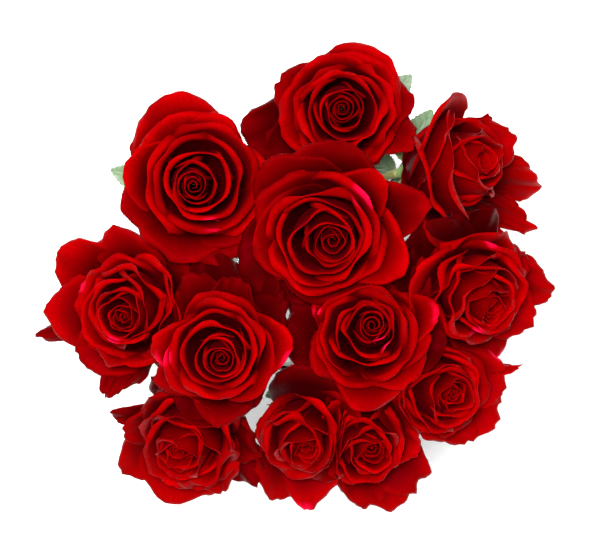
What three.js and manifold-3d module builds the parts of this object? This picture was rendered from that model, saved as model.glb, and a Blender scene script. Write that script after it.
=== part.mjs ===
// Twelve red roses with their leaves, standing in a glass vase of water.
// Millimetres, +Z up. The origin is the centre of the vase's flat underside.
import * as THREE from "three";
import { mergeVertices } from "three/addons/utils/BufferGeometryUtils.js";
import Module from "manifold-3d";

const wasm = await Module();
wasm.setup();

// ---- driving dimensions ----------------------------------------------------

// Vase: a plain glass tumbler that flares to its mouth, with a thick floor.
const vaseHeight = 200;
const vaseFootRadius = 45;
const vaseMouthRadius = 60;
const vaseWall = 3.5;
const vaseFloor = 12;
const vaseFootRound = 4;
const vaseFlarePower = 1.7;
const vaseSegments = 40;
const vaseWallSteps = 5;
const rimSteps = 4;
const waterDepth = 112;

// Bunch: how high the highest head's tip stands above the vase's rim, the size of the
// heads against the table's, and how far apart heads of that size stand against it.
const bunchRise = 186;
const headScale = 1;
const bouquetSpread = 1;

// Stems.
const stemDiameter = 5.6;
const stemSides = 8;
const stemBends = 8;
const stemTwist = THREE.MathUtils.degToRad(100);
const stemFootGap = 3;
const stemGlassGap = 3;
const stemStraightPastRim = 4;

// Hip and sepals under each head.
const hipLength = 13;
const hipRadius = 6.2;
const sepalLength = 22;
const sepalThickness = 1.4;
const sepalDroop = 9;

// Leaves.
const leafThickness = 1;
const rachisWidth = 2.2;
const leafletAngle = THREE.MathUtils.degToRad(58);
const leafletAspect = 0.6;

// Clearance between pieces that touch in the real bouquet.
const clearance = 0.3;

// One line for each rose: the tip of its heart seen from above (x, y), how far that
// tip is below the highest one, how far the head leans from upright, the direction
// that it leans to, its radius, its height along its own axis, and its turn about
// that axis. Angles are in degrees.
const roses = [
  { tip: [-57, 50], drop: 8, lean: 6, towards: 300, radius: 42, height: 50, turn: 20 },
  { tip: [24, 92], drop: 14, lean: 7, towards: 275, radius: 39, height: 48, turn: 50 },
  { tip: [108, 67], drop: 36, lean: 48, towards: 6, radius: 40, height: 54, turn: 0 },
  { tip: [18, 18], drop: 0, lean: 14, towards: 268, radius: 44, height: 50, turn: 75 },
  { tip: [-102, -22], drop: 34, lean: 20, towards: 190, radius: 42, height: 50, turn: 33 },
  { tip: [-43, -45], drop: 12, lean: 6, towards: 250, radius: 37, height: 48, turn: 10 },
  { tip: [40, -24], drop: 12, lean: 8, towards: 95, radius: 36, height: 48, turn: 58 },
  { tip: [111, -20], drop: 34, lean: 34, towards: 315, radius: 39, height: 50, turn: 27 },
  { tip: [90, -66], drop: 40, lean: 26, towards: 335, radius: 33, height: 44, turn: 64 },
  { tip: [-70, -102], drop: 44, lean: 34, towards: 245, radius: 37, height: 46, turn: 5 },
  { tip: [3, -99], drop: 36, lean: 30, towards: 268, radius: 30, height: 44, turn: 41 },
  { tip: [43, -101], drop: 42, lean: 24, towards: 296, radius: 30, height: 43, turn: 17 },
];

// One line for each leaf: the rose that bears it (from 1), how far up the free part
// of the stem it grows, its turn from the outward direction, its angle away from the
// stem, the pairs of side leaflets, the length of its end leaflet and how far it
// bends down.
const leaves = [
  { rose: 1, along: 0.26, turn: 8, away: 28, pairs: 2, leaflet: 31, bend: 62 },
  { rose: 1, along: 0.58, turn: 46, away: 31, pairs: 1, leaflet: 32, bend: 20 },
  { rose: 2, along: 0.22, turn: 8, away: 28, pairs: 2, leaflet: 30, bend: 66 },
  { rose: 2, along: 0.52, turn: -42, away: 45, pairs: 1, leaflet: 32, bend: 10 },
  { rose: 3, along: 0.2, turn: -6, away: 50, pairs: 2, leaflet: 32, bend: 58 },
  { rose: 3, along: 0.46, turn: 2, away: 39, pairs: 1, leaflet: 34, bend: 38 },
  { rose: 4, along: 0.5, turn: -8, away: 24, pairs: 1, leaflet: 36, bend: -10 },
  { rose: 5, along: 0.26, turn: -6, away: 36, pairs: 2, leaflet: 32, bend: 60 },
  { rose: 5, along: 0.56, turn: 16, away: 37, pairs: 1, leaflet: 33, bend: 30 },
  { rose: 6, along: 0.5, turn: 0, away: 30, pairs: 1, leaflet: 30, bend: 20 },
  { rose: 7, along: 0.5, turn: 66, away: 36, pairs: 1, leaflet: 28, bend: 10 },
  { rose: 8, along: 0.24, turn: 6, away: 36, pairs: 2, leaflet: 30, bend: 64 },
  { rose: 8, along: 0.55, turn: -8, away: 43, pairs: 1, leaflet: 31, bend: 30 },
  { rose: 9, along: 0.14, turn: 0, away: 56, pairs: 1, leaflet: 34, bend: 60 },
  { rose: 9, along: 0.58, turn: 4, away: 44, pairs: 1, leaflet: 28, bend: 40 },
  { rose: 10, along: 0.24, turn: 0, away: 39, pairs: 2, leaflet: 32, bend: 60 },
  { rose: 10, along: 0.58, turn: -12, away: 38, pairs: 1, leaflet: 33, bend: 38 },
  { rose: 11, along: 0.3, turn: -10, away: 45, pairs: 2, leaflet: 28, bend: 66 },
  { rose: 11, along: 0.62, turn: -18, away: 54, pairs: 1, leaflet: 25, bend: 34 },
  { rose: 12, along: 0.14, turn: 2, away: 50, pairs: 1, leaflet: 33, bend: 60 },
  { rose: 12, along: 0.6, turn: 8, away: 42, pairs: 1, leaflet: 26, bend: 40 },
];

// The head's outline from its base over the rolled rims to its sunken heart, as
// shares of its radius and height, with the petals that lobe each ring.
const headProfile = [
  { r: 0, z: 0, petals: 0, depth: 0 },
  { r: 0.17, z: 0, petals: 0, depth: 0 },
  { r: 0.62, z: 0.12, petals: 5, depth: 0.03 },
  { r: 0.88, z: 0.36, petals: 5, depth: 0.06 },
  { r: 1, z: 0.68, petals: 5, depth: 0.08 },
  { r: 0.92, z: 0.8, petals: 5, depth: 0.08 },
  { r: 0.7, z: 0.7, petals: 5, depth: 0.05 },
  { r: 0.6, z: 0.9, petals: 3, depth: 0.1 },
  { r: 0.4, z: 0.8, petals: 3, depth: 0.08 },
  { r: 0.28, z: 1, petals: 2, depth: 0.12 },
  { r: 0, z: 0.9, petals: 0, depth: 0 },
];
const headSegments = 20;
const headMiddle = 0.55;

// ---- materials -------------------------------------------------------------

const glass = new THREE.MeshStandardMaterial({
  color: "#dfe9e6", roughness: 0.05, metalness: 0, transparent: true, opacity: 0.35,
});
const water = new THREE.MeshStandardMaterial({
  color: "#dcebea", roughness: 0.05, metalness: 0, transparent: true, opacity: 0.5,
});
const petalRed = new THREE.MeshStandardMaterial({ color: "#b00410", roughness: 0.6, metalness: 0 });
const stemGreen = new THREE.MeshStandardMaterial({ color: "#5c7a3c", roughness: 0.6, metalness: 0 });
const sepalGreen = new THREE.MeshStandardMaterial({ color: "#6b8f45", roughness: 0.65, metalness: 0 });
const leafGreen = new THREE.MeshStandardMaterial({ color: "#3f6138", roughness: 0.5, metalness: 0 });

// ---- solids: from a geometry to a manifold solid and back --------------------

function toSolid(geometry) {
  const bare = geometry.clone();
  bare.deleteAttribute("normal");
  bare.deleteAttribute("uv");
  const merged = mergeVertices(bare, 1e-4);
  const vertProperties = new Float32Array(merged.attributes.position.array);
  const triVerts = new Uint32Array(merged.index.array);
  return new wasm.Manifold(new wasm.Mesh({ numProp: 3, vertProperties, triVerts }));
}

function toGeometry(solid) {
  const mesh = solid.getMesh();
  const geometry = new THREE.BufferGeometry();
  geometry.setAttribute("position", new THREE.BufferAttribute(mesh.vertProperties, 3));
  geometry.setIndex(new THREE.BufferAttribute(mesh.triVerts, 1));
  geometry.computeVertexNormals();
  return geometry;
}

// A profile of [radius, height] pairs turned about the Z axis.
function lathe(profile, segments) {
  const points = profile.map(([radius, height]) => new THREE.Vector2(radius, height));
  return new THREE.LatheGeometry(points, segments).rotateX(Math.PI / 2);
}

// ---- vase and water ----------------------------------------------------------

function vaseOuterRadius(height) {
  const share = Math.max(height, 0) / vaseHeight;
  return vaseFootRadius + (vaseMouthRadius - vaseFootRadius) * share ** vaseFlarePower;
}

function vaseInnerRadius(height) {
  return vaseOuterRadius(height) - vaseWall;
}

function between(low, high, steps) {
  return Array.from({ length: steps + 1 }, (_, step) => low + ((high - low) * step) / steps);
}

function vaseGeometry() {
  const rimRadius = vaseWall / 2;
  const rimHeight = vaseHeight - rimRadius;
  const outer = between(vaseFootRound, rimHeight, vaseWallSteps)
    .map((height) => [vaseOuterRadius(height), height]);
  const rimMiddle = vaseOuterRadius(rimHeight) - rimRadius;
  const rim = between(0, Math.PI, rimSteps).slice(1, -1).map((angle) => [
    rimMiddle + rimRadius * Math.cos(angle),
    rimHeight + rimRadius * Math.sin(angle),
  ]);
  const inner = between(vaseFloor + vaseFootRound, rimHeight, vaseWallSteps)
    .map((height) => [vaseInnerRadius(height), height])
    .reverse();
  const profile = [
    [0, 0],
    [vaseFootRadius - vaseFootRound, 0],
    ...outer,
    ...rim,
    ...inner,
    [vaseInnerRadius(vaseFloor) - vaseFootRound, vaseFloor],
    [0, vaseFloor],
  ];
  return lathe(profile, vaseSegments);
}

// The water fills the vase up to its level, and leaves room around every stem.
function waterGeometry(stemCurves) {
  const low = vaseFloor + vaseFootRound;
  const level = vaseFloor + waterDepth;
  const side = between(low, level, vaseWallSteps)
    .map((height) => [vaseInnerRadius(height) - 2 * clearance, height]);
  const profile = [
    [0, vaseFloor + clearance],
    [vaseInnerRadius(vaseFloor) - vaseFootRound - clearance, vaseFloor + clearance],
    ...side,
    [0, level],
  ];
  let solid = toSolid(lathe(profile, vaseSegments));
  const roomRadius = stemDiameter / 2 + clearance / Math.cos(Math.PI / stemSides);
  for (const curve of stemCurves) {
    solid = solid.subtract(toSolid(tube(curve, roomRadius, clearance)));
  }
  return toGeometry(solid);
}

// ---- where each rose stands ----------------------------------------------------

function direction(leanDegrees, towardsDegrees) {
  const lean = THREE.MathUtils.degToRad(leanDegrees);
  const towards = THREE.MathUtils.degToRad(towardsDegrees);
  return new THREE.Vector3(
    Math.sin(lean) * Math.cos(towards),
    Math.sin(lean) * Math.sin(towards),
    Math.cos(lean),
  );
}

function headFrame(rose) {
  const axis = direction(rose.lean, rose.towards);
  const [x, y] = rose.tip;
  const tipHeight = vaseHeight + bunchRise - rose.drop;
  const spread = bouquetSpread * headScale;
  const tip = new THREE.Vector3(x * spread, y * spread, tipHeight);
  const radius = rose.radius * headScale;
  const height = rose.height * headScale;
  const base = tip.clone().addScaledVector(axis, -height);
  const middle = base.clone().addScaledVector(axis, height * headMiddle);
  const upright = new THREE.Quaternion().setFromUnitVectors(new THREE.Vector3(0, 0, 1), axis);
  const matrix = new THREE.Matrix4()
    .compose(base, upright, new THREE.Vector3(1, 1, 1))
    .multiply(new THREE.Matrix4().makeRotationZ(THREE.MathUtils.degToRad(rose.turn)));
  return { axis, tip, base, middle, radius, height, matrix };
}

const heads = roses.map(headFrame);
const widestHead = Math.max(...heads.map((head) => Math.hypot(head.tip.x, head.tip.y)));

// ---- stems ---------------------------------------------------------------------

// A stem runs straight from its foot to the neck of the bunch, then bends to meet
// its head along the head's axis. Foot and neck are the same pattern as the heads,
// made smaller, with the feet turned about the vase's axis, so that no stems meet.
class StemCurve extends THREE.Curve {
  constructor(head) {
    super();
    const footHeight = vaseFloor + stemFootGap;
    const neckHeight = vaseHeight + stemStraightPastRim;
    const room = stemDiameter / 2 + stemGlassGap;
    const footShare = (vaseInnerRadius(footHeight) - vaseFootRound - room) / widestHead;
    const neckShare = (vaseInnerRadius(vaseHeight) - room) / widestHead;
    const flat = new THREE.Vector2(head.tip.x, head.tip.y);
    const foot = flat.clone().rotateAround(new THREE.Vector2(), stemTwist).multiplyScalar(footShare);
    const neck = flat.clone().multiplyScalar(neckShare);
    this.foot = new THREE.Vector3(foot.x, foot.y, footHeight);
    this.neck = new THREE.Vector3(neck.x, neck.y, neckHeight);
    const end = head.base.clone().addScaledVector(head.axis, -(hipLength + 2 * clearance));
    const reach = end.distanceTo(this.neck) / 3;
    const rise = this.neck.clone().sub(this.foot).normalize();
    this.bend = new THREE.CubicBezierCurve3(
      this.neck,
      this.neck.clone().addScaledVector(rise, reach),
      end.clone().addScaledVector(head.axis, -reach),
      end,
    );
    this.straightShare = 1 / (stemBends + 1);
  }

  getPoint(share) {
    if (share <= this.straightShare) {
      return this.foot.clone().lerp(this.neck, share / this.straightShare);
    }
    return this.bend.getPoint(this.bendShare(share));
  }

  // The middle of the bar, which runs straight from one step of the bend to the next.
  barPoint(share) {
    const step = Math.min(Math.floor(share * stemBends), stemBends - 1);
    const low = this.bend.getPoint(step / stemBends);
    const high = this.bend.getPoint((step + 1) / stemBends);
    return low.lerp(high, share * stemBends - step);
  }

  bendShare(share) {
    return (share - this.straightShare) / (1 - this.straightShare);
  }

  getTangent(share) {
    if (share <= this.straightShare) {
      return this.neck.clone().sub(this.foot).normalize();
    }
    return this.bend.getTangent(this.bendShare(share));
  }

  // One step takes the whole straight stretch, and the bend takes the others.
  getPointAt(share) {
    return this.getPoint(share);
  }

  getTangentAt(share) {
    return this.getTangent(share);
  }
}

// A round bar along a stem's curve, whose foot reaches down by extra.
function tube(curve, radius, extra) {
  const section = new THREE.Shape();
  for (let side = 0; side < stemSides; side++) {
    const angle = (2 * Math.PI * side) / stemSides;
    const corner = [radius * Math.cos(angle), radius * Math.sin(angle)];
    if (side === 0) section.moveTo(...corner);
    else section.lineTo(...corner);
  }
  const route = Object.create(curve);
  route.foot = curve.foot.clone();
  route.foot.addScaledVector(curve.getTangent(0), -extra);
  return new THREE.ExtrudeGeometry(section, {
    steps: stemBends + 1,
    bevelEnabled: false,
    extrudePath: route,
  });
}

// ---- heads -----------------------------------------------------------------------

// All the petals of one head as one closed form, lobed where its petals are.
function headGeometry(head) {
  const geometry = lathe(headProfile.map(({ r, z }) => [r, z]), headSegments);
  const position = geometry.attributes.position;
  for (let index = 0; index < position.count; index++) {
    const ring = headProfile[index % headProfile.length];
    const x = position.getX(index);
    const y = position.getY(index);
    const lobe = 1 + ring.depth * Math.cos(ring.petals * Math.atan2(y, x));
    const wide = head.radius * lobe;
    position.setXYZ(index, x * wide, y * wide, ring.z * head.height);
  }
  return geometry.applyMatrix4(head.matrix);
}

// Heads that press on each other share the room between them in the ratio of their
// radii, with a flat gap between them, and their sepals keep to the same sides.
function pressed(geometry, head) {
  let solid = toSolid(geometry);
  for (const other of heads) {
    const towards = other.middle.clone().sub(head.middle);
    const distance = towards.length();
    if (other === head || distance > 1.5 * (head.radius + other.radius)) continue;
    towards.normalize();
    const share = head.radius / (head.radius + other.radius);
    const limit = head.middle.dot(towards) + distance * share - clearance;
    solid = solid.trimByPlane([-towards.x, -towards.y, -towards.z], -limit);
  }
  return toGeometry(solid);
}

// ---- hip and sepals -----------------------------------------------------------------

const sepalCount = 5;

// The swollen hip with its five sepals, a star that droops away from the head.
function calyxGeometry(head) {
  const hipMiddle = -hipLength * 0.55;
  const sepalRoot = hipRadius * 0.9;
  const rings = [
    { r: 0, z: -hipLength, point: 0, valley: 0 },
    { r: stemDiameter / 2, z: -hipLength, point: 0, valley: 0 },
    { r: hipRadius, z: hipMiddle, point: 0, valley: 0 },
    { r: sepalRoot, z: -2 * sepalThickness, point: 0, valley: 0 },
    { r: sepalRoot, z: -sepalThickness - clearance, point: sepalLength, valley: 2 },
    { r: sepalRoot, z: -clearance, point: sepalLength, valley: 2 },
    { r: sepalRoot, z: -clearance, point: 0, valley: 0 },
    { r: 0, z: -clearance, point: 0, valley: 0 },
  ];
  const geometry = lathe(rings.map(({ r, z }) => [r, z]), 2 * sepalCount);
  const position = geometry.attributes.position;
  for (let index = 0; index < position.count; index++) {
    const ring = rings[index % rings.length];
    const spoke = Math.floor(index / rings.length);
    const reach = spoke % 2 === 0 ? ring.point : ring.valley;
    const angle = Math.atan2(position.getY(index), position.getX(index));
    const radius = ring.r + reach;
    const drop = (sepalDroop * reach) / sepalLength;
    position.setXYZ(index, radius * Math.cos(angle), radius * Math.sin(angle), ring.z - drop);
  }
  return geometry.applyMatrix4(head.matrix);
}

// ---- leaves -------------------------------------------------------------------------

const leafletOutline = [[0.3, -0.46], [0.66, -0.42], [1, 0], [0.66, 0.42], [0.3, 0.46]];

// The corners of one leaflet that starts at (x, y) and points along angle.
function leafletCorners(x, y, length, angle) {
  return leafletOutline.map(([along, across]) => {
    const corner = new THREE.Vector2(along * length, across * length * leafletAspect);
    return corner.rotateAround(new THREE.Vector2(), angle).add(new THREE.Vector2(x, y));
  });
}

// The flat outline of a whole leaf: pairs of side leaflets and one end leaflet.
function leafOutline(leaf) {
  const half = rachisWidth / 2;
  const stalk = leaf.leaflet * 0.55;
  const step = leaf.leaflet * 0.62;
  const rightSide = [new THREE.Vector2(0, -half)];
  for (let pair = 0; pair < leaf.pairs; pair++) {
    const x = stalk + pair * step;
    const length = leaf.leaflet * (0.72 + 0.1 * pair);
    rightSide.push(new THREE.Vector2(x - half, -half));
    rightSide.push(...leafletCorners(x, -half, length, -leafletAngle));
    rightSide.push(new THREE.Vector2(x + half, -half));
  }
  const endX = stalk + leaf.pairs * step - leaf.leaflet * 0.2;
  const leftSide = rightSide.map((corner) => new THREE.Vector2(corner.x, -corner.y)).reverse();
  rightSide.push(new THREE.Vector2(endX, -half));
  leftSide.unshift(new THREE.Vector2(endX, half));
  const end = leafletCorners(endX, 0, leaf.leaflet, 0);
  return { corners: [...rightSide, ...end, ...leftSide], length: endX + leaf.leaflet };
}

function sinc(angle) {
  return angle === 0 ? 1 : Math.sin(angle) / angle;
}

// A flat leaf, bent down along its length as an arc.
function leafGeometry(leaf, curve) {
  const { corners, length } = leafOutline(leaf);
  const geometry = new THREE.ExtrudeGeometry(new THREE.Shape(corners), {
    depth: leafThickness, bevelEnabled: false,
  }).translate(0, 0, -leafThickness / 2);
  const curl = THREE.MathUtils.degToRad(leaf.bend) / length;
  const position = geometry.attributes.position;
  for (let index = 0; index < position.count; index++) {
    const x = position.getX(index);
    const angle = curl * x;
    const off = position.getZ(index);
    const along = x * sinc(angle) + off * Math.sin(angle);
    const up = off * Math.cos(angle) - x * sinc(angle / 2) * Math.sin(angle / 2);
    position.setX(index, along);
    position.setZ(index, up);
  }
  return geometry.applyMatrix4(leafMatrix(leaf, curve));
}

// A leaf starts on the outside of its stem, clear of the stem's surface, and leans
// away from the stem's own direction there.
function leafMatrix(leaf, curve) {
  const node = curve.barPoint(leaf.along);
  const stemAxis = curve.bend.getTangent(leaf.along);
  const towards = Math.atan2(node.y, node.x) + THREE.MathUtils.degToRad(leaf.turn);
  const outward = new THREE.Vector3(Math.cos(towards), Math.sin(towards), 0);
  const off = outward.addScaledVector(stemAxis, -outward.dot(stemAxis)).normalize();
  const away = THREE.MathUtils.degToRad(leaf.away);
  const along = stemAxis.clone().multiplyScalar(Math.cos(away)).addScaledVector(off, Math.sin(away));
  const across = new THREE.Vector3(0, 0, 1).cross(along).normalize();
  const normal = along.clone().cross(across);
  const reach = (stemDiameter / 2 + clearance + leafThickness) / Math.sin(away);
  const start = node.clone().addScaledVector(along, reach);
  return new THREE.Matrix4().makeBasis(along, across, normal).setPosition(start);
}

// ---- the whole object -----------------------------------------------------------------

const bouquet = new THREE.Group();

function addPart(name, geometry, material) {
  const mesh = new THREE.Mesh(geometry, material);
  mesh.name = name;
  bouquet.add(mesh);
}

function numbered(number) {
  return String(number).padStart(2, "0");
}

const stemCurves = heads.map((head) => new StemCurve(head));

addPart("vase", vaseGeometry(), glass);
addPart("water", waterGeometry(stemCurves), water);
heads.forEach((head, index) => {
  const name = `rose_${numbered(index + 1)}`;
  addPart(`${name}_stem`, tube(stemCurves[index], stemDiameter / 2, 0), stemGreen);
  addPart(`${name}_calyx`, pressed(calyxGeometry(head), head), sepalGreen);
  addPart(`${name}_bloom`, pressed(headGeometry(head), head), petalRed);
});
leaves.forEach((leaf, index) => {
  const curve = stemCurves[leaf.rose - 1];
  addPart(`leaf_${numbered(index + 1)}`, leafGeometry(leaf, curve), leafGreen);
});

export default bouquet;
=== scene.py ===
"""Twelve red roses with their leaves in a glass vase of water, seen from straight above."""
import math

import bpy
import numpy as np
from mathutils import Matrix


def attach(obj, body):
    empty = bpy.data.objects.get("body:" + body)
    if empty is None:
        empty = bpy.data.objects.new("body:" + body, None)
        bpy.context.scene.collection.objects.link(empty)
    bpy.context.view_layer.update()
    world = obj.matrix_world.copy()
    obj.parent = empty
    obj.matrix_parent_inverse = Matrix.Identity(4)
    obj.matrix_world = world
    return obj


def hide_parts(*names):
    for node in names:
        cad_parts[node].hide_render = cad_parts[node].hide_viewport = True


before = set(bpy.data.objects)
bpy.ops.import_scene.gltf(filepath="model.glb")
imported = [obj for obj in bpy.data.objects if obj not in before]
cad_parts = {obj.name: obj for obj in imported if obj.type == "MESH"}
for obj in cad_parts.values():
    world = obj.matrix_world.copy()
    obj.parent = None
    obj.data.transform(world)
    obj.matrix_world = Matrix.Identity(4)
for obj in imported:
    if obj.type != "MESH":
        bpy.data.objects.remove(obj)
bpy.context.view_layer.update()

MM = 0.001
SEED = 12

# ---- sizes, in millimetres, as in the CAD model ----

VASE_HEIGHT = 200
VASE_FOOT_RADIUS = 45
VASE_MOUTH_RADIUS = 60
VASE_WALL = 3.5
VASE_FLOOR = 12
VASE_FOOT_ROUND = 4
VASE_FLARE = 1.7
WATER_DEPTH = 112

STEM_DIAMETER = 5.6
STEM_TWIST = math.radians(100)
STEM_FOOT_GAP = 3
STEM_GLASS_GAP = 3
STEM_PAST_RIM = 4
STEM_BENDS = 8
HIP_LENGTH = 13
HIP_RADIUS = 6.2
SEPAL_LENGTH = 22
SEPAL_DROOP = 9
CLEARANCE = 0.3

LEAFLET_ANGLE = math.radians(58)
LEAFLET_ASPECT = 0.6
LEAF_THICKNESS = 1

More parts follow.
